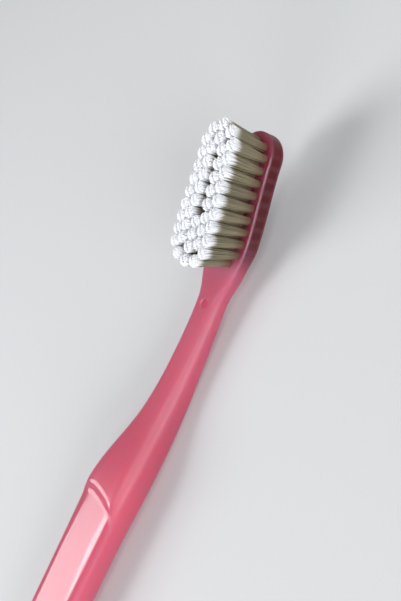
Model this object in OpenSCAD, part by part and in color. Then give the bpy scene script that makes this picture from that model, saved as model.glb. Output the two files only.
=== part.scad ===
// A manual toothbrush, lying on its back with the bristles up.
// X runs along the brush towards its head, Y across it to the left, and Z up.
// The origin is on the surface that it lies on, under the middle of its length.
// A place along the brush is a distance from the head's tip, measured along the bent spine.
// The spine follows the bristle face, bends through the neck and runs level under the grip's top.
// A height is measured square to the spine, and is zero on the bristle face.

/* [Head] */
// Length of the head, from its tip to the start of the neck
head_len = 27.4; // [25:0.1:32]
// Length of the rounded tip
tip_len = 5; // [4:0.1:6]
// Width just behind the rounded tip
head_front_w = 9.2; // [8.6:0.1:11]
// Width where the head is widest
head_rear_w = 11; // [10:0.1:13]
// Distance from that widest place back to the start of the neck
head_shoulder_len = 6; // [4:0.1:8]
// Width at the start of the neck
heel_w = 9.4; // [8.5:0.1:11]
// Thickness
head_t = 4.3; // [4:0.1:6]
// Thickness at the start of the neck
heel_t = 3.8; // [3.5:0.1:5]
// Radius of the edge round the bristle face
face_edge_r = 0.7; // [0.3:0.05:0.9]
// Radius of the edge round the head's back
head_back_r = 1.4; // [0.6:0.1:1.8]
// Angle of the head above the line of the grip
head_tilt = 12.3; // [6:0.1:16]

/* [Tufts] */
// Distance from the head's tip to the middle of the first tuft
tuft_front = 2; // [1.8:0.05:2.5]
// Distance from the middle of the last tuft to the start of the neck
tuft_rear = 1.3; // [1.1:0.05:2]
// Distance from the head's side to the middle of a tuft in the outer columns
tuft_margin = 1.6; // [1.5:0.05:2]
// Diameter of a tuft's hole
hole_d = 1.7; // [1.4:0.05:1.8]
// Depth of a tuft's hole
hole_depth = 3; // [2.6:0.1:3.3]
// Gap between a tuft's root and its hole
root_gap = 0.04; // [0.02:0.01:0.08]
// Height of the bristles above the bristle face
bristle_h = 10.2; // [8:0.1:12]
// Width of one strand of bristles, corner to corner
strand_w = 0.38; // [0.25:0.01:0.4]
// Gap between neighbouring tufts at their tips
tip_gap = 0.08; // [0.04:0.01:0.2]

/* [Anchors] */
// Width of the metal plate that holds a tuft down, a little more than its hole
anchor_w = 1.9; // [1.85:0.01:2]
// Height of the plate
anchor_h = 1.4; // [1:0.05:1.6]
// Thickness of the plate
anchor_t = 0.26; // [0.2:0.01:0.35]
// Gap between the plate and the slots round it
anchor_gap = 0.03; // [0.02:0.01:0.05]
// Thickness of the fold of bristles under the plate
fold_t = 0.5; // [0.4:0.05:0.8]
// Angle of the plates to the head's length
anchor_turn = 35; // [0:5:90]

/* [Neck] */
// Length from the head to the waist
shoulder_len = 7.6; // [6:0.1:10]
// Length from the waist to the belly, the lowest place of the neck's back
neck_len = 26; // [20:0.5:32]
// Width of the waist
waist_w = 6.5; // [5.5:0.1:7.5]
// Thickness of the waist
waist_t = 4.45; // [4.2:0.05:5.5]
// Height of the waist's top
waist_top = 0.8; // [0.4:0.1:1.2]
// Width half way along the neck
neck_w = 6.9; // [6:0.1:8]
// Thickness half way along the neck
neck_t = 6.2; // [5.8:0.1:7.5]
// Height of the neck's top half way along
neck_top = 2; // [1.4:0.1:2.6]
// Width of the belly
belly_w = 8.1; // [7.2:0.1:9.5]
// Thickness of the belly
belly_t = 8.3; // [7.5:0.1:9.5]
// Height of the level spine above the surface
spine_h = 4.9; // [4.4:0.1:6]
// Length of the bend from the head's line to the grip's
bend_len = 30; // [20:1:40]

/* [Grip] */
// Length of the rise from the belly to the hump
rise_len = 21; // [16:0.5:26]
// Length from the hump to the straight grip
hump_len = 10; // [7:0.5:14]
// Length of the straight grip
grip_len = 32; // [25:1:45]
// Length from the grip to the tail
fall_len = 26; // [20:1:35]
// Length of the tail, which has the flat back
tail_len = 38; // [30:1:55]
// Length of the tail's rounded end
end_len = 5; // [4:0.1:7]
// Width of the hump
hump_w = 12.4; // [11:0.1:14]
// Width of the grip
grip_w = 12.3; // [11:0.1:14]
// Width of the tail's start
tail_w = 11.8; // [10:0.1:13]
// Width of the tail's end
end_w = 10.4; // [9:0.1:12]
// Height of the hump's top above the surface
hump_top = 11.85; // [10.5:0.05:13]
// Height of the grip's top above the surface
grip_top = 11.85; // [10.5:0.05:13]
// Height of the tail's top above the surface
tail_top = 9.1; // [8:0.1:10]
// Height of the end's top above the surface
end_top = 7.9; // [7:0.1:9]
// Height of the arch under the hump
hump_arch = 2.8; // [1:0.1:3.4]
// Height of the arch under the grip
grip_arch = 3.2; // [1:0.1:4]
// Radius along the edges of the hump, grip and tail
grip_edge_r = 3; // [2:0.1:3.3]
// Depth cut off the back where it rests on the surface
rest_cut = 0.3; // [0.15:0.05:0.5]

/* [Thumb panel] */
// Distance of the polished panel's front edge before the hump's top
panel_lead = 3; // [1:0.1:5]
// Distance of its other edge from the end of the handle
panel_stop = 14; // [10:0.5:30]
// Depth of its step below the surface round it
panel_sink = 0.6; // [0.3:0.05:0.9]
// Width between its sides, where its ends have bowed in all the way
panel_w = 10.6; // [9.4:0.1:11.6]
// Width of its flat middle
panel_flat_w = 8.2; // [6:0.1:9]
// Length of its bowed ends
panel_bow = 4.6; // [2:0.1:6]
// Run of its step, from top to bottom
panel_draft = 1.4; // [0.6:0.1:2]

/* [Ejector mark] */
// Distance of the mark behind the start of the neck
mark_place = 7.8; // [6:0.1:10]
// Diameter of the mark
mark_d = 2.1; // [1:0.1:2.4]
// Depth of the mark
mark_depth = 0.2; // [0.1:0.05:0.4]

/* [Hidden] */
$fn = 48;
// Rows of tufts from the tip: a place in half pitches behind the first full row, then
// the tufts' places across it as shares of the outer columns' distance from the middle
row_shares = concat(
    [[-2.5, [0]], [-1.7, [-0.78, 0.78]], [-0.55, [0]]],
    [for (i = [0:16]) [i, i % 2 == 0 ? (i < 12 ? [-1, 1] : [-1, 0, 1])
                                     : (i < 11 ? [-0.42, 0.42] : [-0.54, 0.54])]],
    [[17.7, [-0.66, 0.66]], [18.2, [0]]]
);
// Outward lean of the tufts' tips, as shares of their distance from the middle of the bristles
lean_along_share = 0.035;
lean_across_share = 0.1;
// Radii of a neck's four edges, as a share of its width or thickness, whichever is less
neck_edge_share = 0.43;
// Power of the superellipse that the panel's bowed ends follow
bow_power = 3;
// Strands round the middle one in each tuft
ring_strands = 8;
strand_sides = 3;
root_fn = 14;
tip_steps = 8;
edge_steps = 5;
station_step = 3.2;
flat_steps = 3;
// How far a strand is sunk into its root, and the root below the bristle face
strand_sink = 0.25;
root_drop = 0.06;
// Distance by which a cut passes the surface that it goes through
overrun = 1;

widest_at = head_len - head_shoulder_len;
waist_at = head_len + shoulder_len;
neck_at = waist_at + neck_len / 2;
belly_at = waist_at + neck_len;
hump_at = belly_at + rise_len;
grip_at = hump_at + hump_len;
fall_at = grip_at + grip_len;
tail_at = fall_at + fall_len;
brush_len = tail_at + tail_len;
bend_end = head_len + bend_len;
bend_r = bend_len * 180 / (PI * head_tilt);
waist_edge_r = neck_edge_share * min(waist_w, waist_t);
neck_edge_r = neck_edge_share * min(neck_w, neck_t);
belly_edge_r = neck_edge_share * min(belly_w, belly_t);

// Each curve is a list of [place, value], joined smoothly and without overshoot
top_curve = [
    [0, 0], [head_len, 0], [waist_at, waist_top], [neck_at, neck_top],
    [belly_at, belly_t - spine_h], [hump_at, hump_top - spine_h], [grip_at, grip_top - spine_h],
    [fall_at, grip_top - spine_h], [tail_at, tail_top - spine_h], [brush_len, end_top - spine_h]
];
back_curve = [
    [0, -head_t], [widest_at, -head_t], [head_len, -heel_t], [waist_at, waist_top - waist_t],
    [neck_at, neck_top - neck_t], [belly_at, -spine_h - rest_cut],
    [hump_at, hump_arch - spine_h], [grip_at, grip_arch - spine_h],
    [fall_at, grip_arch - spine_h], [tail_at, -spine_h - rest_cut],
    [brush_len, -spine_h - rest_cut]
];
width_curve = [
    [tip_len, head_front_w], [widest_at, head_rear_w], [head_len, heel_w], [waist_at, waist_w],
    [neck_at, neck_w], [belly_at, belly_w], [hump_at, hump_w], [grip_at, grip_w],
    [fall_at, grip_w], [tail_at, tail_w], [brush_len, end_w]
];
top_edge_curve = [
    [0, face_edge_r], [head_len, face_edge_r], [waist_at, waist_edge_r], [neck_at, neck_edge_r],
    [belly_at, belly_edge_r], [hump_at, grip_edge_r], [brush_len, grip_edge_r]
];
back_edge_curve = [
    [0, head_back_r], [head_len, head_back_r], [waist_at, waist_edge_r], [neck_at, neck_edge_r],
    [belly_at, belly_edge_r], [hump_at, grip_edge_r], [brush_len, grip_edge_r]
];

// Slope between a curve's points i and i + 1
function chord(c, i) = (c[i + 1][1] - c[i][1]) / (c[i + 1][0] - c[i][0]);
// Slope at point i: level at the ends and where the curve turns, else a harmonic mean
function slope(c, i) =
    i == 0 || i == len(c) - 1 ? 0
    : chord(c, i - 1) * chord(c, i) <= 0 ? 0
    : 2 * chord(c, i - 1) * chord(c, i) / (chord(c, i - 1) + chord(c, i));
// Index of the stretch of the curve that holds place d
function stretch(c, d) =
    max([0, for (i = [0:len(c) - 2]) if (c[i][0] <= d) i]);
function blend(c, i, d, u, gap) =
    (2 * u + 1) * (1 - u) * (1 - u) * c[i][1] + u * u * (3 - 2 * u) * c[i + 1][1]
    + gap * u * (1 - u) * ((1 - u) * slope(c, i) - u * slope(c, i + 1));
function along(c, d) =
    let (i = stretch(c, d), gap = c[i + 1][0] - c[i][0],
         u = max(0, min(1, (d - c[i][0]) / gap)))
    blend(c, i, d, u, gap);

function lean(d) =
    d <= head_len ? head_tilt : d >= bend_end ? 0 : head_tilt * (bend_end - d) / bend_len;
// The spine in the XZ plane, from the end of its bend
function spine(d) =
    d >= bend_end ? [bend_end - d, 0]
    : d >= head_len ? bend_r * [sin(lean(d)), 1 - cos(lean(d))]
    : spine(head_len) + (head_len - d) * [cos(head_tilt), sin(head_tilt)];
front_x = spine(0)[0] + head_back_r * (1 - cos(head_tilt))
        + (head_t - head_back_r) * sin(head_tilt);
middle_x = (front_x + spine(brush_len)[0]) / 2;
// A point of the brush, from its place along it, its distance from the middle and its height
function point(d, y, h) =
    let (s = spine(d), a = lean(d))
    [s[0] - middle_x - h * sin(a), y, s[1] + spine_h + h * cos(a)];

function half_width(d) =
    d < tip_len ? head_front_w / 2 * sqrt(1 - pow(1 - d / tip_len, 2))
    : along(width_curve, d) / 2;

// The thumb panel's ends are bowed: its sides lie further in along the handle than its middle
panel_at = hump_at - panel_lead;
panel_end = brush_len - panel_stop;
bow_run = panel_stop - end_len;
function bow(y) =
    let (share = min(1, 2 * abs(y) / panel_w))
    panel_bow * (1 - pow(1 - pow(share, bow_power), 1 / bow_power));
function bow_share(d) =
    max(0, 1 - abs(d - panel_at) / bow_run) - max(0, 1 - abs(d - panel_end) / bow_run);

// Stations of the left half of the outline seen from above, from the tip to the end:
// [place, half width, outward normal, half width of the stretch, whether the top is sunk]
function cap_station(len, half_w, a, from, way) =
    let (n = [-way * cos(a) / len, sin(a) / half_w])
    [from + way * len * (1 - cos(a)), half_w * sin(a), n / norm(n), half_w, false];
function stations(from, to, sunk) =
    let (steps = ceil((to - from) / station_step))
    [for (i = [0:steps])
        let (d = from + (to - from) * i / steps, w = half_width(d)) [d, w, [0, 1], w, sunk]];
outline = concat(
    [for (i = [0:tip_steps - 1])
        cap_station(tip_len, head_front_w / 2, 90 * i / tip_steps, 0, 1)],
    stations(tip_len, panel_at, false),
    stations(panel_at + panel_draft, panel_end - panel_draft, true),
    stations(panel_end, brush_len - end_len, false),
    [for (i = [tip_steps - 1:-1:0])
        cap_station(end_len, half_width(brush_len - end_len), 90 * i / tip_steps, brush_len, -1)]
);
// Distance that a ring is drawn in from the outline, and that it drops from the top or the back:
// the angle a goes round the rounded edge, and the share goes across the flat inside it
function flat_half(s, w, r) = s[4] ? panel_flat_w / 2 : w - r;
function drawn_in(s, w, r, share, a) =
    (w - flat_half(s, w, r)) * (1 - sin(a)) + (1 - share) * flat_half(s, w, r);
function drop(s, r, a) = let (sink = s[4] ? panel_sink : 0) sink + (r - sink) * (1 - cos(a));
function skin_point(s, side, share, a, edge_curve) =
    let (bowed = bow_share(s[0])
             * bow(s[1] - s[2][1] * drawn_in(s, s[3], along(edge_curve, s[0]), share, a)),
         wider = half_width(s[0] + bowed) - half_width(s[0]),
         r = along(edge_curve, s[0] + bowed),
         in = drawn_in(s, s[3] + wider, r, share, a))
    [s[0] + bowed - s[2][0] * in, side * (s[1] + wider - s[2][1] * in), r];
function top_point(s, side, share, a) =
    let (p = skin_point(s, side, share, a, top_edge_curve))
    point(p[0], p[1], along(top_curve, p[0]) - drop(s, p[2], a));
function back_point(s, side, a) =
    let (p = skin_point([s[0], s[1], s[2], s[3], false], side, 1, a, back_edge_curve))
    point(p[0], p[1], along(back_curve, p[0]) + p[2] * (1 - cos(a)));
// A ring runs from the tip along the left side to the end, and back along the right side
right_half = [for (i = [len(outline) - 2:-1:1]) outline[i]];
function top_ring(share, a) = concat(
    [for (s = outline) top_point(s, 1, share, a)],
    [for (s = right_half) top_point(s, -1, share, a)]);
function back_ring(a) = concat(
    [for (s = outline) back_point(s, 1, a)],
    [for (s = right_half) back_point(s, -1, a)]);

module brush_body() {
    n = len(outline);
    size = 2 * n - 2;
    rings = concat(
        [for (k = [1:flat_steps - 1]) top_ring(k / flat_steps, 0)],
        [for (k = [0:edge_steps]) top_ring(1, 90 * k / edge_steps)],
        [for (k = [edge_steps:-1:0]) back_ring(90 * k / edge_steps)]
    );
    last = (len(rings) - 1) * size;
    sides = [for (k = [0:len(rings) - 2], i = [0:size - 1])
        let (a = k * size + i, b = k * size + (i + 1) % size)
        each [[a, b, b + size], [a, b + size, a + size]]];
    top = [for (i = [0:n - 2])
        let (far = (size - i) % size, next = size - i - 1)
        each [if (i > 0) [i, far, next], if (i < n - 2) [i, next, i + 1]]];
    back = [for (t = top) [last + t[0], last + t[2], last + t[1]]];
    polyhedron([for (r = rings) each r], concat(sides, top, back), convexity = 6);
}

// Places of the tufts' middles on the bristle face: [distance from the tip, across]
half_pitch = (head_len - tuft_front - tuft_rear)
           / (row_shares[len(row_shares) - 1][0] - row_shares[0][0]);
first_row = tuft_front - row_shares[0][0] * half_pitch;
tufts = [for (row = row_shares, side = row[1])
    let (d = first_row + row[0] * half_pitch) [d, side * (half_width(d) - tuft_margin)]];
tuft_middle = (tufts[0][0] + tufts[len(tufts) - 1][0]) / 2;
function tip_place(t) = [
    t[0] + lean_along_share * (t[0] - tuft_middle), t[1] * (1 + lean_across_share)];
tip_spacing = min([for (i = [0:len(tufts) - 2], j = [i + 1:len(tufts) - 1])
    norm(tip_place(tufts[i]) - tip_place(tufts[j]))]);
tip_spread = (tip_spacing - tip_gap - strand_w) / 2;
root_r = hole_d / 2 - root_gap;
root_spread = root_r - strand_w / 2 - root_gap;

// Puts its children on the bristle face at a place, with their Z square to the face
module on_face(t) {
    translate(point(t[0], t[1], 0)) rotate([0, -head_tilt, 0]) children();
}

// A box with its middle over the origin, turned as the plates are
module plate(w, t, h, bottom) {
    rotate(anchor_turn) translate([-w / 2, -t / 2, bottom]) cube([w, t, h]);
}

module anchor_slot() {
    plate(anchor_w + 2 * anchor_gap, anchor_t + 2 * anchor_gap, anchor_h + 2 * anchor_gap,
          fold_t - hole_depth - anchor_gap);
}

module tuft_hole() {
    translate([0, 0, -hole_depth]) cylinder(d = hole_d, h = hole_depth + overrun, $fn = root_fn);
    anchor_slot();
}

// One straight strand, from its place on the root to its place at the tips
module strand(from, to, turn) {
    corners = [for (i = [0:strand_sides - 1])
        strand_w / 2 * [cos(turn + 360 * i / strand_sides), sin(turn + 360 * i / strand_sides)]];
    foot = [for (c = corners) [from[0] + c[0], from[1] + c[1], -root_drop - strand_sink]];
    head = [for (c = corners) [to[0] + c[0], to[1] + c[1], bristle_h]];
    flanks = [for (i = [0:strand_sides - 1])
        let (j = (i + 1) % strand_sides)
        each [[i, i + strand_sides, j + strand_sides], [i, j + strand_sides, j]]];
    ends = [for (i = [1:strand_sides - 2])
        each [[0, i, i + 1], [strand_sides, strand_sides + i + 1, strand_sides + i]]];
    polyhedron(concat(foot, head), concat(flanks, ends));
}

module tuft(index) {
    t = tufts[index];
    shift = [t[0] - tip_place(t)[0], tip_place(t)[1] - t[1]];
    color([0.95, 0.95, 0.93]) on_face(t) {
        difference() {
            translate([0, 0, root_gap - hole_depth])
                cylinder(r = root_r, h = hole_depth - root_gap - root_drop, $fn = root_fn);
            anchor_slot();
        }
        strand([0, 0], shift, 0);
        for (i = [0:ring_strands - 1]) {
            turn = 360 * i / ring_strands;
            way = [cos(turn), sin(turn)];
            strand(root_spread * way, shift + tip_spread * way, turn);
        }
    }
}

module tuft_anchors() {
    color([0.8, 0.68, 0.4])
        for (t = tufts) on_face(t) plate(anchor_w, anchor_t, anchor_h, fold_t - hole_depth);
}

module ejector_mark() {
    d = head_len + mark_place;
    fall = atan((along(top_curve, d + mark_d / 2) - along(top_curve, d - mark_d / 2)) / mark_d);
    translate(point(d, 0, along(top_curve, d))) rotate([0, fall - lean(d), 0])
        translate([0, 0, -mark_depth]) cylinder(d = mark_d, h = mark_depth + overrun);
}

module handle() {
    color([0.85, 0.42, 0.52]) difference() {
        brush_body();
        translate([-brush_len, -brush_len / 2, -overrun - rest_cut])
            cube([2 * brush_len, brush_len, overrun + rest_cut]);
        ejector_mark();
        for (t = tufts) on_face(t) tuft_hole();
    }
}

function tuft_name(i) = str("tuft_", i < 9 ? "0" : "", i + 1);
handle();
tuft_anchors();
for (i = [0:len(tufts) - 1]) tuft(i);
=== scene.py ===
"""A manual toothbrush, dressed for its portrait.

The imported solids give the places. The moulded handle is lofted again with finer curves, and
each plain tuft is replaced by one of folded filaments. Sizes are in millimetres, as a maker
gives them, and MM turns them to the scene's metres. Only the paper and the lamps are sized in
metres.
"""
import logging
import math
import random
from collections.abc import Iterable, Mapping
from dataclasses import dataclass
from enum import Enum
from functools import cached_property
from typing import Any

import bmesh
import bpy
from mathutils import Matrix, Vector


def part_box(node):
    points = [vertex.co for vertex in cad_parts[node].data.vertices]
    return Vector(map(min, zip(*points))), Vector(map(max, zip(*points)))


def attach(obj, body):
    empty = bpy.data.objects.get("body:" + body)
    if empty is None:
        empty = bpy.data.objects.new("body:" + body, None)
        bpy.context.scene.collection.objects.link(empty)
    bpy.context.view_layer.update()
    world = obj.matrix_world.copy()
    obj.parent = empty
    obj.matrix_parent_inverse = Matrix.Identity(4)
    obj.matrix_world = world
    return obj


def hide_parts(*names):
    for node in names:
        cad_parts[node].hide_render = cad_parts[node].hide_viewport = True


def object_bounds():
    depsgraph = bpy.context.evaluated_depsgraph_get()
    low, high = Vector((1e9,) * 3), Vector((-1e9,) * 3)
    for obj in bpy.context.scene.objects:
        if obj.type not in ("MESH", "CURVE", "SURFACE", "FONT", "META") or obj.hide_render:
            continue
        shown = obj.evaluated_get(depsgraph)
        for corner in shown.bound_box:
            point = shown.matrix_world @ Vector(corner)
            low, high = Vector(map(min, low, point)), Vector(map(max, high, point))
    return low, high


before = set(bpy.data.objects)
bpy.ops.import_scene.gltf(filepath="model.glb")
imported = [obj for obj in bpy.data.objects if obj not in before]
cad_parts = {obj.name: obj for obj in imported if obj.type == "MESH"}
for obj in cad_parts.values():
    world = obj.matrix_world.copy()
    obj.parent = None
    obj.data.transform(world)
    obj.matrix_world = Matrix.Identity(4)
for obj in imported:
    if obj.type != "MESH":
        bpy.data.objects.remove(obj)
cad_low, cad_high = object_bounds()

MM = 0.001
LOG = logging.getLogger("toothbrush")
# A Mix node's sockets for colours: its two inputs and its result.
MIX_LOW, MIX_HIGH, MIX_RESULT = 6, 7, 2


def linear(hex_colour: str) -> tuple[float, float, float, float]:
    """Turns an sRGB hex colour into the linear colour that shaders take.

    Args:
        hex_colour: Six hex digits after a hash sign.

    Returns:
        Red, green, blue and an opaque alpha.
    """
    channels = (int(hex_colour[i : i + 2], 16) / 255 for i in (1, 3, 5))
    red, green, blue = (
        c / 12.92 if c <= 0.04045 else ((c + 0.055) / 1.055) ** 2.4 for c in channels
    )
    return red, green, blue, 1.0


def add_node(
    tree: bpy.types.NodeTree,
    kind: str,
    values: Mapping[Any, Any] | None = None,
    links: Mapping[Any, bpy.types.NodeSocket] | None = None,
    **settings: Any,
) -> bpy.types.Node:
    """Adds a node with its settings, its sockets' values and its links.

    Args:
        tree: The node tree that gets the node.
        kind: The node's type name.
        values: Input sockets by name or index, with their values.
        links: Input sockets by name or index, with the outputs that feed them.
        **settings: The node's own properties.

    Returns:
        The new node.
    """
    node = tree.nodes.new(kind)
    for name, value in settings.items():
        setattr(node, name, value)
    for socket, value in (values or {}).items():
        node.inputs[socket].default_value = value
    for socket, source in (links or {}).items():
        tree.links.new(source, node.inputs[socket])
    return node


def blend_colours(
    tree: bpy.types.NodeTree,
    share: bpy.types.NodeSocket,
    low: bpy.types.NodeSocket | str,
    high: bpy.types.NodeSocket | str,
) -> bpy.types.NodeSocket:
    """Blends two colours, each of them a hex colour or another node's output.

    Args:
        tree: The node tree.
        share: The output that gives the second colour's share.
        low: The colour at share 0.
        high: The colour at share 1.

    Returns:
        The output with the blended colour.
    """
    given = {MIX_LOW: low, MIX_HIGH: high}
    fixed = {i: linear(c) for i, c in given.items() if isinstance(c, str)}
    fed = {i: c for i, c in given.items() if not isinstance(c, str)}
    node = add_node(tree, "ShaderNodeMix", fixed, {0: share, **fed}, data_type="RGBA")
    return node.outputs[MIX_RESULT]


def shown_rays(tree: bpy.types.NodeTree) -> bpy.types.NodeSocket:
    """Tells the rays that show a backdrop, in sight, in gloss or through glass, from the rest.

    Args:
        tree: The node tree of the paper or the world.

    Returns:
        The output that is 1 for the rays that show it.
    """
    rays = add_node(tree, "ShaderNodeLightPath").outputs
    shown = rays["Is Camera Ray"]
    for kind in ("Is Glossy Ray", "Is Transmission Ray"):
        shown = add_node(
            tree, "ShaderNodeMath", links={0: shown, 1: rays[kind]}, operation="MAXIMUM"
        ).outputs[0]
    return shown


def new_material(name: str) -> tuple[bpy.types.Material, bpy.types.NodeTree]:
    """Makes an empty node material.

    Args:
        name: The material's name.

    Returns:
        The material and its node tree.
    """
    material = bpy.data.materials.new(name)
    material.use_nodes = True
    material.node_tree.nodes.clear()
    return material, material.node_tree


def new_piece(name: str, bm: bmesh.types.BMesh) -> bpy.types.Object:
    """Makes an object at the origin from a bmesh in millimetres, and frees the bmesh.

    Args:
        name: The piece's name.
        bm: The shape, which is scaled to metres.

    Returns:
        The object, linked to the scene and shaded smooth.
    """
    bmesh.ops.scale(bm, vec=(MM, MM, MM), verts=bm.verts)
    mesh = bpy.data.meshes.new(name)
    bm.to_mesh(mesh)
    bm.free()
    mesh.shade_smooth()
    piece = bpy.data.objects.new(name, mesh)
    bpy.context.scene.collection.objects.link(piece)
    return piece


class Attribute(Enum):
    """What the pieces' meshes tell their materials."""

    POLISH = "polish"
    # Painted shade on the head and on the plastic in front of its filled holes.
    HEAD_SHADE = "painted_head_shade"
    HEIGHT = "height_up_tuft"
    STRAND = "strand_tone"


@dataclass(frozen=True)
class SmoothCurve:
    """A curve through knots, joined smoothly and without overshoot.

    Each knot is a place and a value.
    """

    knots: tuple[tuple[float, float], ...]

    def chord(self, i: int) -> float:
        """Slope of the straight line from knot i to the next one."""
        (x0, y0), (x1, y1) = self.knots[i : i + 2]
        return (y1 - y0) / (x1 - x0)

    def slope(self, i: int) -> float:
        """Slope at a knot, level at the ends and where the curve turns.

        Args:
            i: The knot's number.

        Returns:
            The change of value along the curve.
        """
        if i == 0 or i == len(self.knots) - 1:
            return 0.0
        before, after = self.chord(i - 1), self.chord(i)
        return 0.0 if before * after <= 0 else 2 * before * after / (before + after)

    def at(self, place: float) -> float:
        """Reads the curve, which is held level past its ends.

        Args:
            place: The place along the curve.

        Returns:
            The value there.
        """
        starts = [i for i, (x, _) in enumerate(self.knots[:-1]) if x <= place]
        i = max(starts, default=0)
        (x0, y0), (x1, y1) = self.knots[i : i + 2]
        u = min(1.0, max(0.0, (place - x0) / (x1 - x0)))
        ends = (2 * u + 1) * (1 - u) ** 2 * y0 + u * u * (3 - 2 * u) * y1
        lift = (1 - u) * self.slope(i) - u * self.slope(i + 1)
        return ends + (x1 - x0) * u * (1 - u) * lift


@dataclass(frozen=True)
class Spine:
    """The bent line of the brush: level from the tail, then bent up, then straight to the tip.

    Its height is that of the level stretch over the floor.
    """

    head_len: float = 27.4
    bend_len: float = 30.0
    head_tilt: float = math.radians(12.3)
    height: float = 4.9
    tail_place: float = 188.0

    def lean(self, place: float) -> float:
        """Angle of the spine above the floor.

        Args:
            place: Distance from the head's tip.

        Returns:
            The angle in radians.
        """
        if place <= self.head_len:
            return self.head_tilt
        left = (self.head_len + self.bend_len - place) / self.bend_len
        return self.head_tilt * max(0.0, left)

    def plan(self, place: float) -> tuple[float, float]:
        """Where the spine runs, seen from the side.

        Args:
            place: Distance from the head's tip.

        Returns:
            Distance ahead of the bend's end, and height over the level stretch.
        """
        bend_end = self.head_len + self.bend_len
        if place >= bend_end:
            return bend_end - place, 0.0
        radius = self.bend_len / self.head_tilt
        angle = self.lean(place)
        ahead, up = radius * math.sin(angle), radius * (1 - math.cos(angle))
        beyond = max(0.0, self.head_len - place)
        return ahead + beyond * math.cos(angle), up + beyond * math.sin(angle)

    def point(self, place: float, across: float, height: float) -> Vector:
        """A point of the brush.

        Args:
            place: Distance from the head's tip along the spine.
            across: Distance to the left of the middle.
            height: Height square to the spine, zero on the bristle face.

        Returns:
            The point in the brush's own frame, in millimetres.
        """
        ahead, up = self.plan(place)
        angle = self.lean(place)
        return Vector((
            ahead - self.middle - height * math.sin(angle),
            across,
            up + self.height + height * math.cos(angle),
        ))

    @cached_property
    def middle(self) -> float:
        """Distance of the brush's own origin ahead of the bend's end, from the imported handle."""
        return self.plan(self.tail_place)[0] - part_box("handle")[0].x / MM


@dataclass(frozen=True)
class Station:
    """A place on the outline seen from above, which a section of the loft passes through.

    It stands half to the side of the middle, and its section reaches inward against the
    outline's normal by stretch_half. The top is sunk by a share of the panel's depth.
    """

    place: float
    half: float
    normal: tuple[float, float]
    stretch_half: float
    sunk: float = 0.0


@dataclass(frozen=True)
class Row:
    """A line that runs all round the brush.

    It lies on the top or the back, at a share of the way out to the rounded edge or at an
    angle round that edge, or at a share of the way down the side wall.
    """

    share: float = 1.0
    angle: float = 0.0
    down: float = 0.0
    top: bool = True


@dataclass(frozen=True)
class FrostedPolypropylene:
    """Translucent polypropylene, injection moulded against a spark-eroded steel wall.

    The eroded wall leaves a fine, satin grain, and the polished part of the mould a gloss.
    Light goes a few millimetres into it, red furthest, so thick and shaded parts turn redder,
    and some of it crosses a thin wall. The deep colour gives a random clouding, and also a
    painted shade on the head and on the plastic in front of its filled holes.
    """

    colour: str = "#D3677F"
    # Colour of the random clouding, and of the painted shade on the head.
    cloud_and_shade_colour: str = "#8E080C"
    ior: float = 1.54
    satin: float = 0.4
    gloss: float = 0.17
    polish_edge: tuple[float, float] = (0.38, 0.62)
    # The real grain is about 0.1 mm, too fine to show, so it is drawn coarser.
    grain: float = 0.35
    grain_bump: float = 0.012
    flow: float = 9.0
    flow_range: tuple[float, float] = (0.3, 0.7)
    flow_tint: float = 0.12
    reach: tuple[float, float, float] = (40.0, 6.0, 6.0)
    forward: float = 0.8
    crossing_colour: str = "#DE98AC"
    crossing: float = 0.6
    surface_shine: float = 0.82

    def material(self) -> bpy.types.Material:
        """Builds the plastic: satin all over, glossy where the mesh says polished.

        Returns:
            The material.
        """
        material, tree = new_material("frosted_polypropylene")
        place = add_node(tree, "ShaderNodeTexCoord").outputs["Object"]
        # The second attribute carries the painted shade of the head and of the plastic before its
        # holes.
        polish, behind = (
            add_node(tree, "ShaderNodeAttribute", attribute_name=name.value).outputs["Fac"]
            for name in (Attribute.POLISH, Attribute.HEAD_SHADE)
        )
        satin_to, gloss_from = self.polish_edge
        polished = add_node(
            tree, "ShaderNodeMapRange",
            {"From Min": satin_to, "From Max": gloss_from}, {"Value": polish},
        ).outputs["Result"]
        grain, flow = (
            add_node(
                tree, "ShaderNodeTexNoise",
                {"Scale": 1 / (size * MM), "Detail": detail, "Roughness": rough},
                {"Vector": place},
            ).outputs["Fac"]
            for size, detail, rough in ((self.grain, 2.0, 0.55), (self.flow, 3.0, 0.5))
        )
        clear_to, cloudy_from = self.flow_range
        tone = add_node(
            tree, "ShaderNodeMapRange",
            {"From Min": clear_to, "From Max": cloudy_from, "To Max": self.flow_tint},
            {"Value": flow},
        ).outputs["Result"]
        clouded = blend_colours(tree, tone, self.colour, self.cloud_and_shade_colour)
        # Painted shade: the deep colour is blended in where the mesh marks the head and its filled
        # holes.
        colour = blend_colours(tree, behind, clouded, self.cloud_and_shade_colour)
        roughness = add_node(
            tree, "ShaderNodeMapRange",
            {"To Min": self.satin, "To Max": self.gloss}, {"Value": polished},
        ).outputs["Result"]
        matte = add_node(
            tree, "ShaderNodeMath", {0: 1.0}, {1: polished}, operation="SUBTRACT"
        ).outputs[0]
        bump = add_node(
            tree, "ShaderNodeBump", {"Distance": self.grain_bump * MM},
            {"Height": grain, "Strength": matte},
        ).outputs["Normal"]
        shader = add_node(
            tree, "ShaderNodeBsdfPrincipled",
            {
                "IOR": self.ior,
                "Subsurface Weight": 1.0,
                "Subsurface Radius": self.reach,
                "Subsurface Scale": MM,
                "Subsurface Anisotropy": self.forward,
                "Specular IOR Level": self.surface_shine,
            },
            {"Base Color": colour, "Roughness": roughness, "Normal": bump},
        )
        # The light that crosses the wall takes the same painted shade.
        tint = blend_colours(tree, behind, self.crossing_colour, self.cloud_and_shade_colour)
        crossing = add_node(tree, "ShaderNodeBsdfTranslucent", links={"Color": tint})
        both = add_node(
            tree, "ShaderNodeMixShader", {0: self.crossing},
            {1: shader.outputs[0], 2: crossing.outputs[0]},
        )
        add_node(tree, "ShaderNodeOutputMaterial", links={"Surface": both.outputs[0]})
        return material


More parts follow.
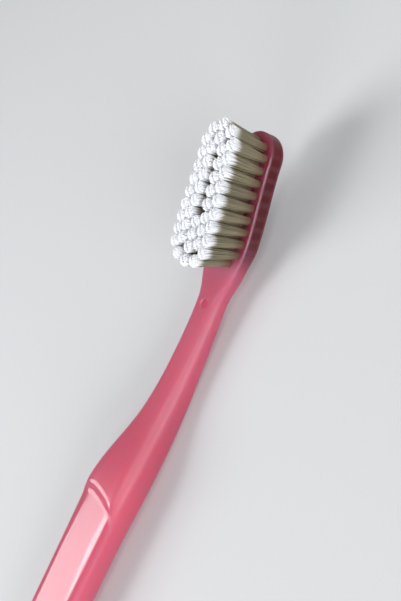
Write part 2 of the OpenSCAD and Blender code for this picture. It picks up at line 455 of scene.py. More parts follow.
@dataclass(frozen=True)
class NylonFilament:
    """Natural white nylon filament, drawn through a die, with its ends rounded by grinding.

    It is milky and lets light through. It is white at the tips and darkened by painted shade
    down the tuft towards the foot.
    """

    # Painted shade darkens the white nylon from the foot up the shank, warmed at the foot as by
    # light bounced off the head.
    shaded_foot_colour: str = "#685141"
    shaded_shank_colour: str = "#847C65"
    tip_colour: str = "#EEF0F4"
    ior: float = 1.53
    roughness: float = 0.42
    foot_shade_run: tuple[float, float] = (0.0, 0.42)
    white_run: tuple[float, float] = (0.75, 0.95)
    tone_spread: float = 0.17

    def material(self) -> bpy.types.Material:
        """Builds the nylon, white at the tip and darkened by painted shade towards the foot, where
        painted light bounced from the head warms it.

        Returns:
            The material.
        """
        material, tree = new_material("nylon_filament")
        height, strand = (
            add_node(tree, "ShaderNodeAttribute", attribute_name=name.value).outputs["Fac"]
            for name in (Attribute.HEIGHT, Attribute.STRAND)
        )
        tint, white = (
            add_node(
                tree, "ShaderNodeMapRange", {"From Min": start, "From Max": end},
                {"Value": height}, interpolation_type="SMOOTHSTEP",
            ).outputs["Result"]
            for start, end in (self.foot_shade_run, self.white_run)
        )
        # Painted shade: the foot and shank colours darken the white towards the head.
        leg = blend_colours(tree, tint, self.shaded_foot_colour, self.shaded_shank_colour)
        blend = blend_colours(tree, white, leg, self.tip_colour)
        tone = add_node(
            tree, "ShaderNodeMapRange", {"To Min": 1 - self.tone_spread, "To Max": 1.0},
            {"Value": strand},
        ).outputs["Result"]
        colour = add_node(
            tree, "ShaderNodeHueSaturation", links={"Value": tone, "Color": blend}
        )
        shader = add_node(
            tree, "ShaderNodeBsdfPrincipled",
            {"IOR": self.ior, "Roughness": self.roughness},
            {"Base Color": colour.outputs[0]},
        )
        add_node(tree, "ShaderNodeOutputMaterial", links={"Surface": shader.outputs[0]})
        return material


@dataclass(frozen=True)
class NickelSilverStrip:
    """Nickel silver wire rolled to a flat strip and chopped, bright with fine rolling lines."""

    colour: str = "#C9B98C"
    roughness: float = 0.28
    # Real rolling lines are under 0.01 mm apart, too fine to show, so they are drawn coarser.
    line_pitch: float = 0.05
    line_bump: float = 0.002
    line_stretch: tuple[float, float, float] = (0.1, 0.1, 1.0)

    def material(self) -> bpy.types.Material:
        """Builds the metal, with lines along the plates' width.

        Returns:
            The material.
        """
        material, tree = new_material("nickel_silver_strip")
        place = add_node(tree, "ShaderNodeTexCoord").outputs["Object"]
        drawn_out = add_node(
            tree, "ShaderNodeMapping", {"Scale": self.line_stretch}, {"Vector": place}
        ).outputs["Vector"]
        lines = add_node(
            tree, "ShaderNodeTexNoise", {"Scale": 1 / (self.line_pitch * MM), "Detail": 2.0},
            {"Vector": drawn_out},
        ).outputs["Fac"]
        bump = add_node(
            tree, "ShaderNodeBump", {"Distance": self.line_bump * MM}, {"Height": lines}
        ).outputs["Normal"]
        shader = add_node(
            tree, "ShaderNodeBsdfPrincipled",
            {"Base Color": linear(self.colour), "Metallic": 1.0, "Roughness": self.roughness},
            {"Normal": bump},
        )
        add_node(tree, "ShaderNodeOutputMaterial", links={"Surface": shader.outputs[0]})
        return material


@dataclass(frozen=True)
class PaperBackdrop:
    """Matt paper that the brush lies on, pale to see and dull in the light that it sends back."""

    colour: str = "#B6B8BA"
    bounce_colour: str = "#606163"
    roughness: float = 0.9

    def material(self) -> bpy.types.Material:
        """Builds the paper, whose paler colour shows in sight, gloss and glass alone.

        Returns:
            The material.
        """
        material, tree = new_material("paper_backdrop")
        colour = blend_colours(tree, shown_rays(tree), self.bounce_colour, self.colour)
        shader = add_node(
            tree, "ShaderNodeBsdfPrincipled",
            {"Roughness": self.roughness}, {"Base Color": colour},
        )
        add_node(tree, "ShaderNodeOutputMaterial", links={"Surface": shader.outputs[0]})
        return material


@dataclass
class Handle:
    """The one-piece moulding: head, neck, grip with its thumb panel, and tail.

    Lengths run along the spine. The waist and neck tops are heights over the spine, and the
    other tops and the arches beneath the grip are heights over the floor.
    """

    spine: Spine
    finish: FrostedPolypropylene
    # The head.
    tip_len: float = 5.0
    head_front_w: float = 9.2
    head_rear_w: float = 11.0
    head_shoulder_len: float = 6.0
    heel_w: float = 9.4
    head_t: float = 4.3
    heel_t: float = 3.8
    face_edge_r: float = 0.5
    head_back_r: float = 1.4
    # The neck, from its waist to its belly.
    shoulder_len: float = 7.6
    neck_len: float = 26.0
    waist_w: float = 6.5
    waist_t: float = 4.45
    waist_top: float = 0.8
    neck_w: float = 6.9
    neck_t: float = 6.2
    neck_top: float = 2.0
    belly_w: float = 8.1
    belly_t: float = 8.3
    neck_edge_share: float = 0.43
    # The grip, which rises to a hump and falls to the tail.
    rise_len: float = 21.0
    hump_len: float = 10.0
    grip_len: float = 32.0
    fall_len: float = 26.0
    end_len: float = 5.0
    hump_w: float = 12.4
    grip_w: float = 12.3
    tail_w: float = 11.8
    end_w: float = 10.4
    grip_top: float = 11.85
    tail_top: float = 9.1
    end_top: float = 7.9
    hump_arch: float = 2.8
    grip_arch: float = 3.2
    grip_edge_r: float = 3.0
    rest_cut: float = 0.3
    # The thumb panel and its bowed ends.
    panel_lead: float = 3.6
    panel_stop: float = 14.0
    panel_sink: float = 0.95
    panel_w: float = 11.2
    panel_flat_w: float = 5.0
    panel_corner: float = 0.23
    panel_bow: float = 4.6
    panel_draft: float = 4.2
    bow_power: float = 2.6
    # Where the polish ends, in degrees round the edge and millimetres along.
    polish_turn: float = 42.0
    polish_short: float = 4.0
    polish_fade: float = 33.0
    polish_blur: float = 0.3
    # The pin's mark, and what the cutters add to it and to the holes.
    mark_place: float = 7.8
    mark_d: float = 2.1
    mark_depth: float = 0.24
    mark_slope: float = 0.16
    mark_overrun: float = 0.5
    hole_lead: float = 0.06
    hole_overrun: float = 0.6
    sharp_turn: float = 40.0
    # The painted shade of the head, deepest in front of the filled holes.
    shade_edge: float = 0.5
    shade_reach: float = 4.0
    whole_head_shade: float = 0.4

    def __post_init__(self) -> None:
        """Works out the places along the brush and the curves that its sections follow."""
        head = self.spine.head_len
        low = self.spine.height
        self.waist_at = head + self.shoulder_len
        self.neck_at = self.waist_at + self.neck_len / 2
        self.belly_at = self.waist_at + self.neck_len
        self.hump_at = self.belly_at + self.rise_len
        self.grip_at = self.hump_at + self.hump_len
        self.fall_at = self.grip_at + self.grip_len
        self.tail_at = self.fall_at + self.fall_len
        self.end = self.spine.tail_place
        self.panel_at = self.hump_at - self.panel_lead
        self.panel_end = self.end - self.panel_stop
        self.bow_run = self.panel_stop - self.end_len
        widest = head - self.head_shoulder_len
        rests = -low - self.rest_cut
        edges = [
            (place, self.neck_edge_share * min(width, thickness))
            for place, width, thickness in (
                (self.waist_at, self.waist_w, self.waist_t),
                (self.neck_at, self.neck_w, self.neck_t),
                (self.belly_at, self.belly_w, self.belly_t),
            )
        ] + [(self.hump_at, self.grip_edge_r), (self.end, self.grip_edge_r)]
        self.top = SmoothCurve((
            (0, 0), (head, 0), (self.waist_at, self.waist_top), (self.neck_at, self.neck_top),
            (self.belly_at, self.belly_t - low), (self.hump_at, self.grip_top - low),
            (self.grip_at, self.grip_top - low), (self.fall_at, self.grip_top - low),
            (self.tail_at, self.tail_top - low), (self.end, self.end_top - low),
        ))
        self.back = SmoothCurve((
            (0, -self.head_t), (widest, -self.head_t), (head, -self.heel_t),
            (self.waist_at, self.waist_top - self.waist_t),
            (self.neck_at, self.neck_top - self.neck_t), (self.belly_at, rests),
            (self.hump_at, self.hump_arch - low), (self.grip_at, self.grip_arch - low),
            (self.fall_at, self.grip_arch - low), (self.tail_at, rests), (self.end, rests),
        ))
        self.width = SmoothCurve((
            (self.tip_len, self.head_front_w), (widest, self.head_rear_w), (head, self.heel_w),
            (self.waist_at, self.waist_w), (self.neck_at, self.neck_w),
            (self.belly_at, self.belly_w), (self.hump_at, self.hump_w),
            (self.grip_at, self.grip_w), (self.fall_at, self.grip_w),
            (self.tail_at, self.tail_w), (self.end, self.end_w),
        ))
        # The step into the panel: share of its depth by share of its run.
        self.step = SmoothCurve(((0, 0), (0.3, 0.16), (0.42, 0.4), (0.75, 0.88), (1, 1)))
        self.top_edge = SmoothCurve(((0, self.face_edge_r), (head, self.face_edge_r), *edges))
        self.back_edge = SmoothCurve(((0, self.head_back_r), (head, self.head_back_r), *edges))

    def half_width(self, place: float) -> float:
        """Half the outline's width.

        Args:
            place: Distance from the head's tip.

        Returns:
            The distance from the middle to the side.
        """
        if place < self.tip_len:
            return self.head_front_w / 2 * math.sqrt(max(0.0, 1 - (1 - place / self.tip_len) ** 2))
        return self.width.at(place) / 2

    def bow(self, across: float) -> float:
        """How far along the handle the panel's bowed end has drawn in at a distance across."""
        share = min(1.0, 2 * abs(across) / self.panel_w)
        return self.panel_bow * (1 - (1 - share**self.bow_power) ** (1 / self.bow_power))

    def bow_share(self, place: float) -> float:
        """Share of the bow that a section follows: 1 at the panel's front, -1 at its rear."""
        away = [abs(place - end) / self.bow_run for end in (self.panel_at, self.panel_end)]
        return max(0.0, 1 - away[0]) - max(0.0, 1 - away[1])

    def cap_station(
        self, length: float, half: float, angle: float, start: float, way: int
    ) -> Station:
        """A place on an elliptical end of the outline.

        Args:
            length: Length of the rounded end.
            half: Half the width where it starts to round.
            angle: Angle round the end, zero at its tip.
            start: Place of its tip.
            way: 1 at the head and -1 at the tail.

        Returns:
            The station.
        """
        nx, ny = -way * math.cos(angle) / length, math.sin(angle) / half
        size = math.hypot(nx, ny)
        place = start + way * length * (1 - math.cos(angle))
        return Station(place, half * math.sin(angle), (nx / size, ny / size), half)

    def run_stations(self, start: float, end: float, step: float) -> list[Station]:
        """Even places along the outline.

        Args:
            start: The first place.
            end: Where the next run starts.
            step: The longest step between two places.

        Returns:
            The stations, the last one short of the end.
        """
        count = math.ceil((end - start) / step)
        places = [start + (end - start) * i / count for i in range(count)]
        return [
            Station(d, self.half_width(d), (0.0, 1.0), self.half_width(d), self.sunk(d))
            for d in places
        ]

    def sunk(self, place: float) -> float:
        """Share of the panel's depth that the top has at a place, smooth over each step."""
        inside = min(place - self.panel_at, self.panel_end - place)
        return self.step.at(inside / self.panel_draft)

    def stations(self) -> list[Station]:
        """Every place on the left half of the outline, from the tip to the end.

        Returns:
            The stations, closest together where the outline or the panel's steps curve most.
        """
        cap_steps, margin = 16, 1.0
        turns = [math.pi / 2 * i / cap_steps for i in range(cap_steps)]
        end_start = self.end - self.end_len
        # Where each run starts, and the longest step in it.
        starts = (
            (self.tip_len, 0.45),
            (self.spine.head_len, 1.0),
            (self.panel_at - margin, 0.17),
            (self.panel_at + self.panel_draft + margin, 0.8),
            (self.grip_at, 2.0),
            (self.fall_at, 1.2),
            (self.panel_end - self.panel_draft - margin, 0.2),
            (self.panel_end + margin, 1.0),
            (end_start, 0.0),
        )
        runs = ((start, end, step) for (start, step), (end, _) in zip(starts, starts[1:]))
        return (
            [self.cap_station(self.tip_len, self.head_front_w / 2, a, 0.0, 1) for a in turns]
            + [s for run in runs for s in self.run_stations(*run)]
            + [self.cap_station(self.end_len, self.half_width(end_start), a, self.end, -1)
               for a in [math.pi / 2, *reversed(turns)]]
        )

    @staticmethod
    def rows() -> list[Row]:
        """Every line round the brush, from the middle of the top to that of the back.

        Returns:
            The rows: across the top, round its edge, down the wall, round and across the back.
        """
        flat, edge, wall = 6, 12, 8
        turn = math.pi / 2
        return (
            [Row(share=i / flat) for i in range(flat)]
            + [Row(angle=turn * i / edge) for i in range(edge)]
            + [Row(angle=turn, down=i / wall) for i in range(wall)]
            + [Row(angle=turn * i / edge, top=False) for i in range(edge, 0, -1)]
            + [Row(share=i / flat, top=False) for i in range(flat, -1, -1)]
        )

    def inward(self, half: float, radius: float, sunk: float, row: Row) -> float:
        """How far inside the outline a line on the top or the back lies.

        Args:
            half: Half the width there.
            radius: Radius of the rounded edge.
            sunk: Share of the panel's depth.
            row: The line round the brush.

        Returns:
            The distance against the outline's normal.
        """
        flat_half = (half - radius) * (1 - sunk) + self.panel_flat_w / 2 * sunk
        rounding = math.sin(row.angle) ** (1 - self.panel_corner * sunk)
        return (half - flat_half) * (1 - rounding) + (1 - row.share) * flat_half

    def surface(self, s: Station, side: int, row: Row) -> Vector:
        """A point of the handle's skin.

        Args:
            s: The station on the outline.
            side: 1 on the left of the brush and -1 on its right.
            row: The line round the brush.

        Returns:
            The point in millimetres.
        """
        if row.down:
            above = self.surface(s, side, Row(angle=row.angle))
            return above.lerp(self.surface(s, side, Row(angle=row.angle, top=False)), row.down)
        sunk = s.sunk if row.top else 0.0
        edge_curve = self.top_edge if row.top else self.back_edge
        first = self.inward(s.stretch_half, edge_curve.at(s.place), sunk, row)
        shift = self.bow_share(s.place) * self.bow(s.half - s.normal[1] * first)
        wider = self.half_width(s.place + shift) - self.half_width(s.place)
        radius = edge_curve.at(s.place + shift)
        inward = self.inward(s.stretch_half + wider, radius, sunk, row)
        place = s.place + shift - s.normal[0] * inward
        across = side * (s.half + wider - s.normal[1] * inward) if row.share else 0.0
        depth = sunk * self.panel_sink
        rounding = math.cos(row.angle) ** (1 - self.panel_corner * sunk)
        drop = depth + (radius - depth) * (1 - rounding)
        height = self.top.at(place) - drop if row.top else self.back.at(place) + drop
        return self.spine.point(place, across, height)

    def polish(self, s: Station, row: Row) -> float:
        """How far inside a polished area a point lies.

        The head is polished and turns satin towards its heel, and the panel is polished to
        its rim.

        Args:
            s: The station on the outline.
            row: The line round the brush.

        Returns:
            From 0 outside to 1 inside, with a half at the area's border.
        """
        short = self.spine.head_len - self.polish_short - s.place
        head = min(1.0, max(0.0, 0.5 + short / self.polish_fade))
        if not row.top or row.down:
            return head
        along = min(s.place - self.panel_at, self.panel_end - s.place)
        beside = (math.radians(self.polish_turn) - row.angle) * self.grip_edge_r
        return max(head, min(1.0, 0.5 + self.polish_blur * min(along, beside)))

    def skin(self) -> bmesh.types.BMesh:
        """Lofts the closed skin, a grid of rows and stations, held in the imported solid's box.

        Returns:
            The skin in millimetres, with its polish.
        """
        half_line = self.stations()
        line = [(s, 1) for s in half_line] + [(s, -1) for s in half_line[-2:0:-1]]
        rows = self.rows()
        bm = bmesh.new()
        polish = bm.verts.layers.float.new(Attribute.POLISH.value)
        bmesh.ops.create_grid(bm, x_segments=len(line), y_segments=len(rows) - 1, size=1)
        low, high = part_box("handle")
        for v in bm.verts:
            s, side = line[round((v.co.x + 1) / 2 * len(line)) % len(line)]
            row = rows[round((v.co.y + 1) / 2 * (len(rows) - 1))]
            point = self.surface(s, side, row)
            v.co = [min(max(c, a / MM), b / MM) for c, a, b in zip(point, low, high)]
            v[polish] = self.polish(s, row)
        bmesh.ops.remove_doubles(bm, verts=bm.verts, dist=1e-4)
        bmesh.ops.dissolve_degenerate(bm, edges=bm.edges, dist=1e-5)
        bmesh.ops.recalc_face_normals(bm, faces=bm.faces)
        return bm

    def hole_shape(self, tuft: "Tuft") -> bmesh.types.BMesh:
        """A hole's shape, spun about Z from its floor to its mouth at zero, with a small lead.

        Args:
            tuft: The tuft that stands in it.

        Returns:
            The closed shape, which stands out over the face.
        """
        wide = tuft.hole_r + self.hole_lead
        outline = (
            (0.0, -tuft.hole_depth), (tuft.hole_r, -tuft.hole_depth),
            (tuft.hole_r, -self.hole_lead), (wide, 0.0), (wide, self.hole_overrun),
            (0.0, self.hole_overrun),
        )
        return spun(outline, steps=28)

    def mark_shape(self) -> bmesh.types.BMesh:
        """The ejector pin's shallow mark, spun about Z, with a sloping wall.

        Returns:
            The closed shape, which stands out over the neck.
        """
        radius = self.mark_d / 2
        outline = (
            (0.0, -self.mark_depth), (radius - self.mark_slope, -self.mark_depth),
            (radius, 0.0), (radius, self.mark_overrun), (0.0, self.mark_overrun),
        )
        return spun(outline, steps=40)

    def cutters(self, tufts: Iterable["Tuft"]) -> bmesh.types.BMesh:
        """Everything that is cut out of the loft, as closed shapes in their places.

        Args:
            tufts: The tufts that the head holds.

        Returns:
            The shapes in millimetres.
        """
        bm = bmesh.new()
        for tuft in tufts:
            add_shape(bm, self.hole_shape(tuft), tuft.stance())
        add_shape(bm, self.mark_shape(), self.mark_stance())
        return bm

    def mark_stance(self) -> Matrix:
        """The matrix that lays a shape made about Z on the neck, where the pin's mark is.

        Returns:
            The matrix in millimetres, turned as the neck falls there.
        """
        place, reach = self.spine.head_len + self.mark_place, 1.0
        ahead, centre, behind = (
            self.spine.point(d, 0, self.top.at(d))
            for d in (place - reach, place, place + reach)
        )
        fall = math.atan2(behind.z - ahead.z, ahead.x - behind.x)
        return Matrix.Translation(centre) @ Matrix.Rotation(fall, 4, "Y")

    def polish_mark(self, mesh: bpy.types.Mesh) -> None:
        """Polishes the mark's floor, as the ejector pin's ground face leaves it.

        Args:
            mesh: The drilled handle's mesh.
        """
        to_mark, rim = self.mark_stance().inverted(), 0.01
        polish = mesh.attributes[Attribute.POLISH.value].data
        for vertex, value in zip(mesh.vertices, polish):
            local = to_mark @ (vertex.co / MM)
            if local.xy.length < self.mark_d / 2 - rim and abs(local.z) < 2 * self.mark_depth:
                value.value = 1.0

    def painted_head_shade(self, point: Vector, tufts: Iterable["Tuft"]) -> float:
        """How much painted shade the plastic gets in front of a filled hole, at a point of the
        skin.

        Args:
            point: The point, in millimetres.
            tufts: The tufts whose holes may lie behind it.

        Returns:
            From 0 where the plastic is clear to 1 at a hole's own wall.
        """
        painted_shade = 0.0
        for tuft in tufts:
            offset = point - tuft.mouth
            height = offset.dot(tuft.up)
            gap = (offset - tuft.up * height).length - tuft.hole_r
            sides = (tuft.hole_r - abs(offset.dot(tuft.along)), height + tuft.hole_depth,
                     -self.face_edge_r - height)
            window = math.prod(min(1.0, max(0.0, 0.5 + side / self.shade_edge)) for side in sides)
            painted_shade = max(painted_shade, window * math.exp(-max(0.0, gap) / self.shade_reach))
        return painted_shade

    def drill(self, loft: bpy.types.Object, tufts: list["Tuft"]) -> None:
        """Cuts the holes and the pin's mark out of the loft, in one boolean.

        Args:
            loft: The handle, whose mesh is replaced by the drilled one.
            tufts: The tufts that the head holds.
        """
        tools = new_piece("hole_cutters", self.cutters(tufts))
        cut = loft.modifiers.new("holes", "BOOLEAN")
        cut.operation = "DIFFERENCE"
        cut.solver = "MANIFOLD"
        cut.object = tools
        depsgraph = bpy.context.evaluated_depsgraph_get()
        drilled = bpy.data.meshes.new_from_object(loft.evaluated_get(depsgraph))
        loft.modifiers.clear()
        loft.data = drilled
        bpy.data.objects.remove(tools)
        drilled.name = loft.name
        drilled.shade_smooth()
        drilled.set_sharp_from_angle(angle=math.radians(self.sharp_turn))

    def painted_shade(self, mesh: bpy.types.Mesh, tufts: list["Tuft"]) -> None:
        """Writes the head's painted shade, over all of it and deepest in front of the filled
        holes, fading out past its heel.

        Args:
            mesh: The drilled handle's mesh.
            tufts: The tufts that the head holds.
        """
        values = mesh.attributes.new(Attribute.HEAD_SHADE.value, "FLOAT", "POINT")
        heel = self.spine.point(self.spine.head_len - self.shade_edge, 0, 0).x
        for vertex, value in zip(mesh.vertices, values.data):
            point = vertex.co / MM
            share = min(1.0, max(0.0, (point.x - heel) / self.shoulder_len))
            if share:
                window = self.painted_head_shade(point, tufts)
                # Painted shade: a share over the whole head, and more in front of each filled
                # hole.
                value.value = share * (self.whole_head_shade + (1 - self.whole_head_shade) * window)

    def build(self, tufts: list["Tuft"]) -> bpy.types.Object:
        """Lofts, drills and dresses the handle.

        Args:
            tufts: The tufts that the head holds.

        Returns:
            The finished piece.
        """
        piece = new_piece("handle_moulding", self.skin())
        self.drill(piece, tufts)
        self.polish_mark(piece.data)
        self.painted_shade(piece.data, tufts)
        piece.data.materials.clear()
        piece.data.materials.append(self.finish.material())
        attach(piece, "root")
        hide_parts("handle")
        return piece


def spun(outline: Iterable[tuple[float, float]], steps: int) -> bmesh.types.BMesh:
    """Spins an outline of radii and heights about Z into a closed shape.

    Args:
        outline: Radius and height of each point, from the axis back to the axis.
        steps: Sides of the shape.

    Returns:
        The shape, its faces outwards.
    """
    bm = bmesh.new()
    points = [bm.verts.new((radius, 0, height)) for radius, height in outline]
    edges = [bm.edges.new(pair) for pair in zip(points, points[1:])]
    bmesh.ops.spin(bm, geom=points + edges, axis=(0, 0, 1), cent=(0, 0, 0),
                   angle=2 * math.pi, steps=steps, use_merge=True)
    bmesh.ops.remove_doubles(bm, verts=bm.verts, dist=1e-5)
    bmesh.ops.recalc_face_normals(bm, faces=bm.faces)
    return bm


def add_shape(bm: bmesh.types.BMesh, shape: bmesh.types.BMesh, place: Matrix) -> None:
    """Adds a shape to a bmesh, in its place, and frees the shape.

    Args:
        bm: The bmesh that gets the shape.
        shape: The shape, made about the origin.
        place: The matrix that moves it to its place.
    """
    bmesh.ops.transform(shape, matrix=place, verts=shape.verts)
    mesh = bpy.data.meshes.new("shape")
    shape.to_mesh(mesh)
    shape.free()
    bm.from_mesh(mesh)
    bpy.data.meshes.remove(mesh)


@dataclass(frozen=True)
class FilamentRun:
    """The run of one folded filament: its place along the plate and off it, and its tips.

    Each tip has an offset from the tuft's middle and a height over the hole's mouth.
    """

    beside: float
    off: float
    tips: tuple[tuple[Vector, float], ...]


@dataclass
class Tuft:
    """A bundle of filaments, folded under an anchor plate in its hole.

    Its place and lean are read off the solid that it replaces. Fan is how much wider the tips
    stand than the root, and fray and stray_reach are how far a tip wanders.
    """

    node: str
    up: Vector
    along: Vector
    hole_r: float = 0.85
    hole_depth: float = 3.0
    root_gap: float = 0.04
    plate_turn: float = math.radians(35)
    plate_foot: float = 2.5
    filaments: int = 50
    filament_d: float = 0.16
    fan: float = 1.58
    fan_power: float = 1.35
    plate_room: float = 0.22
    fold_drop: float = 0.12
    fold_round: float = 0.35
    fray: float = 0.05
    dome: float = 0.46
    uneven: float = 0.05
    strays: float = 0.035
    stray_reach: float = 0.35
    tip_room: float = 0.08

    def __post_init__(self) -> None:
        """Finds the mouth of the hole and the middle of the tips."""
        level = 0.01
        points = {tuple(round(c / MM, 4) for c in v.co)
                  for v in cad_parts[self.node].data.vertices}
        heights = {p: Vector(p).dot(self.up) for p in points}
        low, high = min(heights.values()), max(heights.values())
        root = [Vector(p) for p in points if heights[p] < low + level]
        tips = [Vector(p) for p in points if heights[p] > high - level]
        foot = sum(root, Vector()) / len(root)
        self.mouth = foot + self.up * (self.hole_depth - self.root_gap)
        self.across = self.up.cross(self.along)
        self.height = high - self.mouth.dot(self.up) - self.tip_room
        lean = sum(tips, Vector()) / len(tips) - self.mouth
        self.lean = Vector((lean.dot(self.along), lean.dot(self.across)))
        self.packed_r = self.hole_r - self.filament_d / 2 - self.root_gap

    def stance(self) -> Matrix:
        """The matrix that stands a shape made about Z, mouth at zero, in this hole."""
        turn = Matrix((self.along, self.across, self.up)).transposed()
        return Matrix.Translation(self.mouth) @ turn.to_4x4()

    def filament(self) -> bmesh.types.BMesh:
        """A straight filament from 0 to 1 along Z, with a ring at each step of its path.

        Returns:
            The closed shape, five-sided, with a radius of 1.
        """
        bm = bmesh.new()
        bmesh.ops.create_cone(bm, cap_ends=True, segments=5, radius1=1, radius2=1, depth=1)
        half = 0.5
        sides = [e for e in bm.edges if abs(e.verts[0].co.z - e.verts[1].co.z) > half]
        bmesh.ops.subdivide_edges(bm, edges=sides, cuts=len(self.path()) - 2)
        bmesh.ops.translate(bm, vec=(0, 0, half), verts=bm.verts)
        return bm

    @staticmethod
    def path() -> list[tuple[float, float, float]]:
        """The steps of a filament from tip to fold and back to its other tip.

        Returns:
            For each step its height up the tuft as a share, the angle that it has gone round
            the fold, and the filament's width there as a share.
        """
        leg = [(1.0, 0.0, 0.62), (0.993, 0.0, 0.97), (0.66, 0.0, 1.0), (0.33, 0.0, 1.0),
               (0.0, 0.0, 1.0), (-1.0, 0.0, 1.0)]
        fold = [(-1.0, math.radians(a), 1.0) for a in (60, 120)]
        return leg + fold + [(share, math.pi, width) for share, _, width in reversed(leg)]

    def tips(
        self, beside: float, off: float, draw: random.Random
    ) -> tuple[tuple[Vector, float], ...]:
        """Places both tips of a filament on the tuft's rounded top.

        Args:
            beside: Distance of its legs along the plate.
            off: Distance of its legs from the plate.
            draw: The source of the filaments' small differences.

        Returns:
            For each tip its offset from the tuft's middle, and its height.
        """
        placed = []
        for side in (1, -1):
            loose = self.stray_reach if draw.random() < self.strays else self.fray
            offset = Vector((beside, side * off)) * self.fan
            offset += Vector((draw.gauss(0, loose), draw.gauss(0, loose)))
            share = min(1.0, offset.length / (self.packed_r * self.fan))
            top = self.height - self.dome * share**3 - self.uneven * draw.random()
            placed.append((offset, top))
        return tuple(placed)

    def bent(self, local: Vector, step: tuple[float, float, float], run: FilamentRun) -> Vector:
        """Bends a point of the straight filament to its place in the tuft.

        Args:
            local: The point of the straight filament.
            step: The step of the path that its ring belongs to.
            run: The filament's own run.

        Returns:
            The point in the brush's frame, in millimetres.
        """
        share, round_fold, width = step
        tip, top = run.tips[0 if round_fold < math.pi / 2 else 1]
        level = share * top if share >= 0 else -self.plate_foot
        spread = max(0.0, share) ** self.fan_power
        flat = Vector((run.beside, run.off * math.cos(round_fold))).lerp(tip, spread)
        reach = min(run.off, self.fold_drop + self.fold_round * run.off)
        r = self.filament_d / 2 * width
        flat += Vector((local.x * r, local.y * r * math.cos(round_fold)))
        level -= (reach + local.y * r) * math.sin(round_fold)
        flat.rotate(Matrix.Rotation(self.plate_turn, 2))
        flat += self.lean * spread
        return self.mouth + self.along * flat.x + self.across * flat.y + self.up * level

    def shape(self, draw: random.Random) -> bmesh.types.BMesh:
        """Bends every filament of the tuft to its own run.

        Args:
            draw: The source of the filaments' small differences.

        Returns:
            The tuft in the brush's frame.
        """
        template = bpy.data.meshes.new("filament")
        straight = self.filament()
        straight.to_mesh(template)
        straight.free()
        path = self.path()
        bm = bmesh.new()
        height_layer = bm.verts.layers.float.new(Attribute.HEIGHT.value)
        strand_layer = bm.verts.layers.float.new(Attribute.STRAND.value)
        golden = (math.sqrt(5) - 1) / 2
        for i in range(self.filaments):
            radius = self.packed_r * math.sqrt((i + 0.5) / self.filaments)
            turn = math.pi * ((i * golden) % 1.0)
            beside = radius * math.cos(turn)
            off = max(self.plate_room, radius * math.sin(turn))
            tone = draw.random()
            run = FilamentRun(beside, off, self.tips(beside, off, draw))
            first = len(bm.verts)
            bm.from_mesh(template)
            bm.verts.ensure_lookup_table()
            for v in bm.verts[first:]:
                step = path[round(v.co.z * (len(path) - 1))]
                v[height_layer] = max(0.0, step[0])
                v[strand_layer] = tone
                v.co = self.bent(v.co, step, run)
        bpy.data.meshes.remove(template)
        bmesh.ops.recalc_face_normals(bm, faces=bm.faces)
        return bm

    def build(self, material: bpy.types.Material, seed: int) -> bpy.types.Object:
        """Makes the tuft, dresses it and puts it in the place of its plain solid.

        Args:
            material: The nylon.
            seed: The seed of the filaments' small differences.

        Returns:
            The finished piece.
        """
        piece = new_piece(f"{self.node}_filaments", self.shape(random.Random(seed)))
        piece.data.materials.append(material)
        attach(piece, "root")
        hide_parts(self.node)
        return piece


@dataclass
class TuftField:
    """All the tufts of the bristle face."""

    spine: Spine
    finish: NylonFilament
    seed: int = 44

    def __post_init__(self) -> None:
        """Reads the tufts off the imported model."""
        tilt = self.spine.head_tilt
        along = Vector((math.cos(tilt), 0, math.sin(tilt)))
        up = Vector((-math.sin(tilt), 0, math.cos(tilt)))
        names = sorted(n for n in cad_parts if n.removeprefix("tuft_").isdigit())
        self.tufts = [Tuft(name, up, along) for name in names]

    def build(self) -> list[bpy.types.Object]:
        """Makes every tuft from its own seed."""
        material = self.finish.material()
        return [t.build(material, self.seed + i) for i, t in enumerate(self.tufts)]


@dataclass
class AnchorPlates:
    """The small metal plates that hold the tufts' folds down, kept as the solids are."""

    finish: NickelSilverStrip
    node: str = "tuft_anchors"

    def dress(self) -> bpy.types.Object:
        """Gives the plates their metal.

        Returns:
            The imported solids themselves.
        """
        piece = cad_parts[self.node]
        piece.data.materials.clear()
        piece.data.materials.append(self.finish.material())
        return piece


@dataclass(frozen=True)
class Softbox:
    """A square lamp that faces the brush: angles in degrees, sizes in metres, power in watts."""

    name: str
    bearing: float
    elevation: float
    distance: float
    size: float
    power: float

    def light(self, target: Vector) -> bpy.types.Object:
        """Makes the lamp and turns it to the brush.

        Args:
            target: The point that it faces, in metres.

        Returns:
            The lamp.
        """
        lamp = bpy.data.lights.new(self.name, "AREA")
        lamp.shape = "SQUARE"
        lamp.size = self.size
        lamp.energy = self.power
        bearing, elevation = math.radians(self.bearing), math.radians(self.elevation)
        way = Vector((
            math.cos(bearing) * math.cos(elevation),
            math.sin(bearing) * math.cos(elevation),
            math.sin(elevation),
        ))
        piece = bpy.data.objects.new(self.name, lamp)
        piece.location = target + way * self.distance
        piece.rotation_euler = (-way).to_track_quat("-Z", "Y").to_euler()
        bpy.context.scene.collection.objects.link(piece)
        return piece


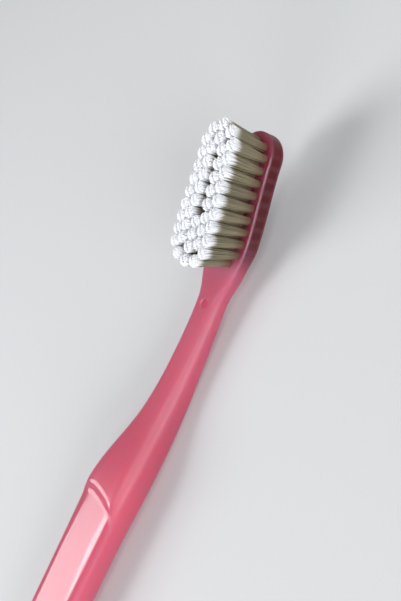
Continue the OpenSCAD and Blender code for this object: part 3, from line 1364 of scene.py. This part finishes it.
@dataclass
class Studio:
    """The camera of the photograph, a sheet of paper, and soft light from several sides.

    The camera's eye and aim are in millimetres, the paper's size in metres.
    """

    backdrop: PaperBackdrop
    eye: tuple[float, float, float] = (68.22, -63.99, 77.72)
    aim: tuple[float, float, float] = (59.47, -3.0, 12.0)
    roll: float = -70.42
    focal_px: float = 466.0
    photo_w_px: float = 401.0
    photo_h_px: float = 601.0
    clip: tuple[float, float] = (0.005, 20.0)
    paper_size: float = 3.0
    sky_colour: str = "#FFFFFF"
    sky_strength: float = 0.18
    seen_strength: float = 0.6
    softboxes: tuple[Softbox, ...] = (
        Softbox("key_softbox", 142.0, 33.5, 1.2, 0.49, 7.0),
        Softbox("stripe_softbox", 151.0, 51.5, 1.2, 0.36, 7.4),
        Softbox("tail_softbox", 200.0, 12.0, 1.2, 0.6, 8.0),
        Softbox("near_softbox", 266.0, 56.0, 1.2, 0.5, 6.6),
        Softbox("tip_softbox", 20.0, 68.0, 1.2, 0.7, 0.6),
        Softbox("side_softbox", 262.0, 14.0, 1.2, 0.8, 14.0),
    )

    def camera(self) -> bpy.types.Object:
        """Makes the camera at the photograph's angle.

        Returns:
            The camera.
        """
        lens = bpy.data.cameras.new("camera")
        lens.sensor_fit = "AUTO"
        long_side = max(self.photo_w_px, self.photo_h_px)
        lens.lens = self.focal_px * lens.sensor_width / long_side
        lens.clip_start, lens.clip_end = self.clip
        piece = bpy.data.objects.new("camera", lens)
        eye, aim = Vector(self.eye) * MM, Vector(self.aim) * MM
        level = (aim - eye).to_track_quat("-Z", "Y").to_matrix()
        turned = level @ Matrix.Rotation(math.radians(self.roll), 3, "Z")
        piece.matrix_world = Matrix.Translation(eye) @ turned.to_4x4()
        bpy.context.scene.collection.objects.link(piece)
        bpy.context.scene.camera = piece
        return piece

    def paper(self) -> bpy.types.Object:
        """Lays the paper under the brush.

        Returns:
            The paper.
        """
        bm = bmesh.new()
        bmesh.ops.create_grid(bm, x_segments=1, y_segments=1, size=self.paper_size / 2 / MM)
        bmesh.ops.translate(bm, vec=(0, 0, cad_low.z / MM), verts=bm.verts)
        piece = new_piece("paper", bm)
        piece.data.materials.append(self.backdrop.material())
        return piece

    def room(self) -> None:
        """Sets the even light of the room, which is seen brighter than it lights."""
        world = bpy.data.worlds.new("room")
        world.use_nodes = True
        background = world.node_tree.nodes["Background"]
        background.inputs["Color"].default_value = linear(self.sky_colour)
        strength = add_node(
            world.node_tree, "ShaderNodeMapRange",
            {"To Min": self.sky_strength, "To Max": self.seen_strength},
            {"Value": shown_rays(world.node_tree)},
        ).outputs["Result"]
        world.node_tree.links.new(strength, background.inputs["Strength"])
        bpy.context.scene.world = world
        bpy.context.scene.view_settings.view_transform = "Standard"

    def lamps(self) -> list[bpy.types.Object]:
        """Hangs the softboxes round the brush."""
        target = (cad_low + cad_high) / 2
        return [box.light(target) for box in self.softboxes]


def main() -> None:
    """Builds the brush piece by piece and reports each."""
    logging.basicConfig(level=logging.INFO, format="%(name)s: %(message)s")
    studio = Studio(PaperBackdrop())
    studio.camera()
    studio.paper()
    studio.room()
    studio.lamps()
    spine = Spine()
    field = TuftField(spine, NylonFilament())
    handle = Handle(spine, FrostedPolypropylene()).build(field.tufts)
    LOG.info("%s has %d faces", handle.name, len(handle.data.polygons))
    for piece in field.build():
        LOG.info("%s has %d faces", piece.name, len(piece.data.polygons))
    plates = AnchorPlates(NickelSilverStrip()).dress()
    LOG.info("%s keeps its %d faces", plates.name, len(plates.data.polygons))


if __name__ == "__main__":
    main()
